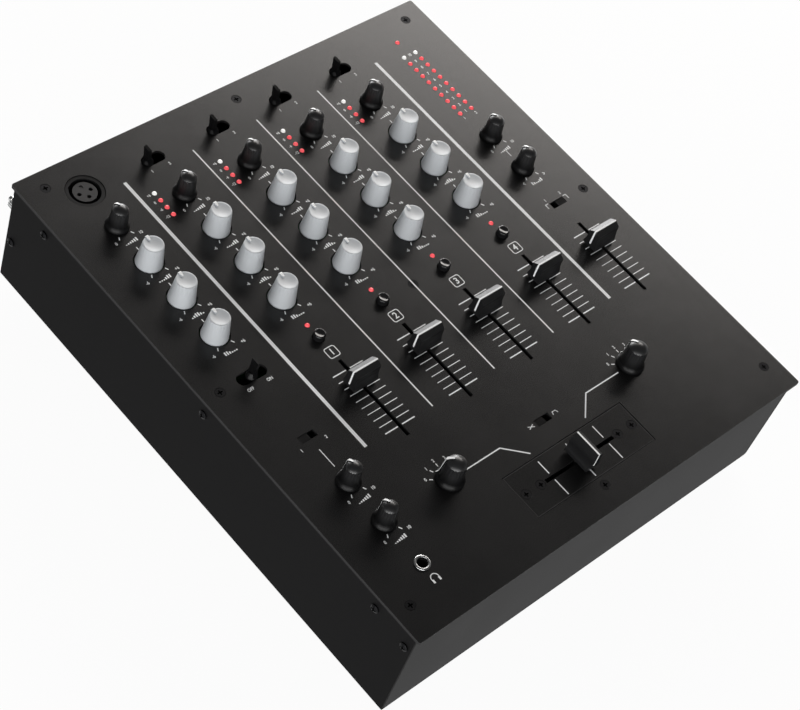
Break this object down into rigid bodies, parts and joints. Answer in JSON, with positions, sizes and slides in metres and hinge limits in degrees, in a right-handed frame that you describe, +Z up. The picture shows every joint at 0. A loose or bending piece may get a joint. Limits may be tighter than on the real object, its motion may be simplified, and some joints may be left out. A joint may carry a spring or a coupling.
{
  "type": "dj mixer",
  "caption": "Tabletop DJ mixer: black steel case whose panel carries tone and gain knobs on shafts, sliding faders in tracks, rocking input levers, cue buttons and sockets",
  "frame": {"origin": "on the floor under the middle of the outline, at the underside of the feet", "axes": "+Z up; +Y from the front edge with the crossfader to the rear with the sockets; +X to the user's right"},
  "size_m": [0.3214, 0.371, 0.1093],
  "materials": {
    "panel_black": "satin powder coat",
    "case_black": "satin powder coat",
    "front_black": "satin powder coat",
    "rear_black": "satin powder coat",
    "plate_black": "satin powder coat",
    "screw_black": "blackened",
    "foot_rubber": "matte",
    "board_green": "solder mask",
    "component_grey": "moulded",
    "track_steel": "plated",
    "lens_red": "tinted lens",
    "socket_black": "moulded",
    "jack_nickel": "nickel plated",
    "connector_black": "moulded",
    "supply_grey": "moulded",
    "knob_silver": "silver lacquer",
    "knob_black": "gloss",
    "assign_black": "satin gloss",
    "cap_black": "satin gloss",
    "lever_black": "gloss",
    "switch_black": "moulded",
    "button_black": "gloss"
  },
  "bodies": {
    "chassis": {"top_panel": "panel_black", "bottom_tray": "case_black", "front_panel": "front_black", "rear_panel": "rear_black", "crossfader_plate": "plate_black", "screws": "screw_black", "feet": "foot_rubber", "control_board": "board_green", "pots_and_switches": "component_grey", "fader_tracks": "track_steel", "indicator_lights": "lens_red", "mic_socket": "socket_black", "headphone_jack": "jack_nickel", "rear_connectors": "connector_black", "power_supply": "supply_grey"},
    "mic_gain_knob": {"mic_gain_knob": "knob_black"},
    "mic_treble_knob": {"mic_treble_knob": "knob_silver"},
    "mic_mid_knob": {"mic_mid_knob": "knob_silver"},
    "mic_bass_knob": {"mic_bass_knob": "knob_silver"},
    "gain_knob_1": {"gain_knob_1": "knob_black"},
    "treble_knob_1": {"treble_knob_1": "knob_silver"},
    "mid_knob_1": {"mid_knob_1": "knob_silver"},
    "bass_knob_1": {"bass_knob_1": "knob_silver"},
    "gain_knob_2": {"gain_knob_2": "knob_black"},
    "treble_knob_2": {"treble_knob_2": "knob_silver"},
    "mid_knob_2": {"mid_knob_2": "knob_silver"},
    "bass_knob_2": {"bass_knob_2": "knob_silver"},
    "gain_knob_3": {"gain_knob_3": "knob_black"},
    "treble_knob_3": {"treble_knob_3": "knob_silver"},
    "mid_knob_3": {"mid_knob_3": "knob_silver"},
    "bass_knob_3": {"bass_knob_3": "knob_silver"},
    "gain_knob_4": {"gain_knob_4": "knob_black"},
    "treble_knob_4": {"treble_knob_4": "knob_silver"},
    "mid_knob_4": {"mid_knob_4": "knob_silver"},
    "bass_knob_4": {"bass_knob_4": "knob_silver"},
    "booth_knob": {"booth_knob": "knob_black"},
    "balance_knob": {"balance_knob": "knob_black"},
    "cue_mix_knob": {"cue_mix_knob": "knob_black"},
    "cue_gain_knob": {"cue_gain_knob": "knob_black"},
    "assign_knob_left": {"assign_knob_left": "assign_black"},
    "assign_knob_right": {"assign_knob_right": "assign_black"},
    "channel_fader_1": {"channel_fader_1": "cap_black"},
    "channel_fader_2": {"channel_fader_2": "cap_black"},
    "channel_fader_3": {"channel_fader_3": "cap_black"},
    "channel_fader_4": {"channel_fader_4": "cap_black"},
    "master_fader": {"master_fader": "cap_black"},
    "crossfader": {"crossfader": "cap_black"},
    "input_lever_1": {"input_lever_1": "lever_black"},
    "input_lever_2": {"input_lever_2": "lever_black"},
    "input_lever_3": {"input_lever_3": "lever_black"},
    "input_lever_4": {"input_lever_4": "lever_black"},
    "mic_lever": {"mic_lever": "lever_black"},
    "cue_mode_switch": {"cue_mode_switch": "switch_black"},
    "stereo_switch": {"stereo_switch": "switch_black"},
    "slope_switch": {"slope_switch": "switch_black"},
    "cue_button_1": {"cue_button_1": "button_black"},
    "cue_button_2": {"cue_button_2": "button_black"},
    "cue_button_3": {"cue_button_3": "button_black"},
    "cue_button_4": {"cue_button_4": "button_black"},
    "power_rocker": {"power_rocker": "switch_black"}
  },
  "joints": [
    {"name": "mic_gain_knob_turn", "type": "hinge", "parent": "chassis", "child": "mic_gain_knob", "pos_m": [-0.1255, 0.11921, 0.09], "axis": [0, 0, 1], "range_deg": [-150, 150]},
    {"name": "mic_treble_knob_turn", "type": "hinge", "parent": "chassis", "child": "mic_treble_knob", "pos_m": [-0.1255, 0.0891, 0.09], "axis": [0, 0, 1], "range_deg": [-150, 150]},
    {"name": "mic_mid_knob_turn", "type": "hinge", "parent": "chassis", "child": "mic_mid_knob", "pos_m": [-0.1255, 0.05899, 0.09], "axis": [0, 0, 1], "range_deg": [-150, 150]},
    {"name": "mic_bass_knob_turn", "type": "hinge", "parent": "chassis", "child": "mic_bass_knob", "pos_m": [-0.1255, 0.02888, 0.09], "axis": [0, 0, 1], "range_deg": [-150, 150]},
    {"name": "gain_knob_1_turn", "type": "hinge", "parent": "chassis", "child": "gain_knob_1", "pos_m": [-0.0753, 0.11921, 0.09], "axis": [0, 0, 1], "range_deg": [-150, 150]},
    {"name": "treble_knob_1_turn", "type": "hinge", "parent": "chassis", "child": "treble_knob_1", "pos_m": [-0.0753, 0.0891, 0.09], "axis": [0, 0, 1], "range_deg": [-150, 150]},
    {"name": "mid_knob_1_turn", "type": "hinge", "parent": "chassis", "child": "mid_knob_1", "pos_m": [-0.0753, 0.05899, 0.09], "axis": [0, 0, 1], "range_deg": [-150, 150]},
    {"name": "bass_knob_1_turn", "type": "hinge", "parent": "chassis", "child": "bass_knob_1", "pos_m": [-0.0753, 0.02888, 0.09], "axis": [0, 0, 1], "range_deg": [-150, 150]},
    {"name": "gain_knob_2_turn", "type": "hinge", "parent": "chassis", "child": "gain_knob_2", "pos_m": [-0.0251, 0.11921, 0.09], "axis": [0, 0, 1], "range_deg": [-150, 150]},
    {"name": "treble_knob_2_turn", "type": "hinge", "parent": "chassis", "child": "treble_knob_2", "pos_m": [-0.0251, 0.0891, 0.09], "axis": [0, 0, 1], "range_deg": [-150, 150]},
    {"name": "mid_knob_2_turn", "type": "hinge", "parent": "chassis", "child": "mid_knob_2", "pos_m": [-0.0251, 0.05899, 0.09], "axis": [0, 0, 1], "range_deg": [-150, 150]},
    {"name": "bass_knob_2_turn", "type": "hinge", "parent": "chassis", "child": "bass_knob_2", "pos_m": [-0.0251, 0.02888, 0.09], "axis": [0, 0, 1], "range_deg": [-150, 150]},
    {"name": "gain_knob_3_turn", "type": "hinge", "parent": "chassis", "child": "gain_knob_3", "pos_m": [0.0251, 0.11921, 0.09], "axis": [0, 0, 1], "range_deg": [-150, 150]},
    {"name": "treble_knob_3_turn", "type": "hinge", "parent": "chassis", "child": "treble_knob_3", "pos_m": [0.0251, 0.0891, 0.09], "axis": [0, 0, 1], "range_deg": [-150, 150]},
    {"name": "mid_knob_3_turn", "type": "hinge", "parent": "chassis", "child": "mid_knob_3", "pos_m": [0.0251, 0.05899, 0.09], "axis": [0, 0, 1], "range_deg": [-150, 150]},
    {"name": "bass_knob_3_turn", "type": "hinge", "parent": "chassis", "child": "bass_knob_3", "pos_m": [0.0251, 0.02888, 0.09], "axis": [0, 0, 1], "range_deg": [-150, 150]},
    {"name": "gain_knob_4_turn", "type": "hinge", "parent": "chassis", "child": "gain_knob_4", "pos_m": [0.0753, 0.11921, 0.09], "axis": [0, 0, 1], "range_deg": [-150, 150]},
    {"name": "treble_knob_4_turn", "type": "hinge", "parent": "chassis", "child": "treble_knob_4", "pos_m": [0.0753, 0.0891, 0.09], "axis": [0, 0, 1], "range_deg": [-150, 150]},
    {"name": "mid_knob_4_turn", "type": "hinge", "parent": "chassis", "child": "mid_knob_4", "pos_m": [0.0753, 0.05899, 0.09], "axis": [0, 0, 1], "range_deg": [-150, 150]},
    {"name": "bass_knob_4_turn", "type": "hinge", "parent": "chassis", "child": "bass_knob_4", "pos_m": [0.0753, 0.02888, 0.09], "axis": [0, 0, 1], "range_deg": [-150, 150]},
    {"name": "booth_knob_turn", "type": "hinge", "parent": "chassis", "child": "booth_knob", "pos_m": [0.1255, 0.05899, 0.09], "axis": [0, 0, 1], "range_deg": [-150, 150]},
    {"name": "balance_knob_turn", "type": "hinge", "parent": "chassis", "child": "balance_knob", "pos_m": [0.1255, 0.02888, 0.09], "axis": [0, 0, 1], "range_deg": [-150, 150]},
    {"name": "cue_mix_knob_turn", "type": "hinge", "parent": "chassis", "child": "cue_mix_knob", "pos_m": [-0.1255, -0.08788, 0.09], "axis": [0, 0, 1], "range_deg": [-150, 150]},
    {"name": "cue_gain_knob_turn", "type": "hinge", "parent": "chassis", "child": "cue_gain_knob", "pos_m": [-0.1255, -0.11799, 0.09], "axis": [0, 0, 1], "range_deg": [-150, 150]},
    {"name": "assign_knob_left_turn", "type": "hinge", "parent": "chassis", "child": "assign_knob_left", "pos_m": [-0.0753, -0.11799, 0.09], "axis": [0, 0, 1], "range_deg": [-90, 30]},
    {"name": "assign_knob_right_turn", "type": "hinge", "parent": "chassis", "child": "assign_knob_right", "pos_m": [0.0753, -0.11799, 0.09], "axis": [0, 0, 1], "range_deg": [-60, 60]},
    {"name": "channel_fader_1_slide", "type": "slide", "parent": "chassis", "child": "channel_fader_1", "axis": [0, 1, 0], "range_m": [-0.0353, 0.0101]},
    {"name": "channel_fader_2_slide", "type": "slide", "parent": "chassis", "child": "channel_fader_2", "axis": [0, 1, 0], "range_m": [-0.0353, 0.0101]},
    {"name": "channel_fader_3_slide", "type": "slide", "parent": "chassis", "child": "channel_fader_3", "axis": [0, 1, 0], "range_m": [-0.0353, 0.0101]},
    {"name": "channel_fader_4_slide", "type": "slide", "parent": "chassis", "child": "channel_fader_4", "axis": [0, 1, 0], "range_m": [-0.0353, 0.0101]},
    {"name": "master_fader_slide", "type": "slide", "parent": "chassis", "child": "master_fader", "axis": [0, 1, 0], "range_m": [-0.0353, 0.0101]},
    {"name": "crossfader_slide", "type": "slide", "parent": "chassis", "child": "crossfader", "axis": [1, 0, 0], "range_m": [-0.0228, 0.0228]},
    {"name": "input_lever_1_rock", "type": "hinge", "parent": "chassis", "child": "input_lever_1", "pos_m": [-0.0753, 0.1495, 0.067], "axis": [0, 1, 0], "range_deg": [0, 20.6]},
    {"name": "input_lever_2_rock", "type": "hinge", "parent": "chassis", "child": "input_lever_2", "pos_m": [-0.0251, 0.1495, 0.067], "axis": [0, 1, 0], "range_deg": [0, 20.6]},
    {"name": "input_lever_3_rock", "type": "hinge", "parent": "chassis", "child": "input_lever_3", "pos_m": [0.0251, 0.1495, 0.067], "axis": [0, 1, 0], "range_deg": [0, 20.6]},
    {"name": "input_lever_4_rock", "type": "hinge", "parent": "chassis", "child": "input_lever_4", "pos_m": [0.0753, 0.1495, 0.067], "axis": [0, 1, 0], "range_deg": [0, 20.6]},
    {"name": "mic_lever_rock", "type": "hinge", "parent": "chassis", "child": "mic_lever", "pos_m": [-0.1255, -0.0041, 0.067], "axis": [0, 1, 0], "range_deg": [-15, 15]},
    {"name": "cue_mode_switch_slide", "type": "slide", "parent": "chassis", "child": "cue_mode_switch", "axis": [1, 0, 0], "range_m": [0, 0.0046]},
    {"name": "stereo_switch_slide", "type": "slide", "parent": "chassis", "child": "stereo_switch", "axis": [1, 0, 0], "range_m": [-0.0046, 0]},
    {"name": "slope_switch_slide", "type": "slide", "parent": "chassis", "child": "slope_switch", "axis": [1, 0, 0], "range_m": [0, 0.0046]},
    {"name": "cue_button_1_press", "type": "slide", "parent": "chassis", "child": "cue_button_1", "axis": [0, 0, -1], "range_m": [0, 0.0015], "stiffness_N_per_m": 400, "springref_m": -0.001},
    {"name": "cue_button_2_press", "type": "slide", "parent": "chassis", "child": "cue_button_2", "axis": [0, 0, -1], "range_m": [0, 0.0015], "stiffness_N_per_m": 400, "springref_m": -0.001},
    {"name": "cue_button_3_press", "type": "slide", "parent": "chassis", "child": "cue_button_3", "axis": [0, 0, -1], "range_m": [0, 0.0015], "stiffness_N_per_m": 400, "springref_m": -0.001},
    {"name": "cue_button_4_press", "type": "slide", "parent": "chassis", "child": "cue_button_4", "axis": [0, 0, -1], "range_m": [0, 0.0015], "stiffness_N_per_m": 400, "springref_m": -0.001},
    {"name": "power_rocker_tilt", "type": "hinge", "parent": "chassis", "child": "power_rocker", "pos_m": [0.1145, 0.1706, 0.042], "axis": [-1, 0, 0], "range_deg": [0, 16]}
  ]
}
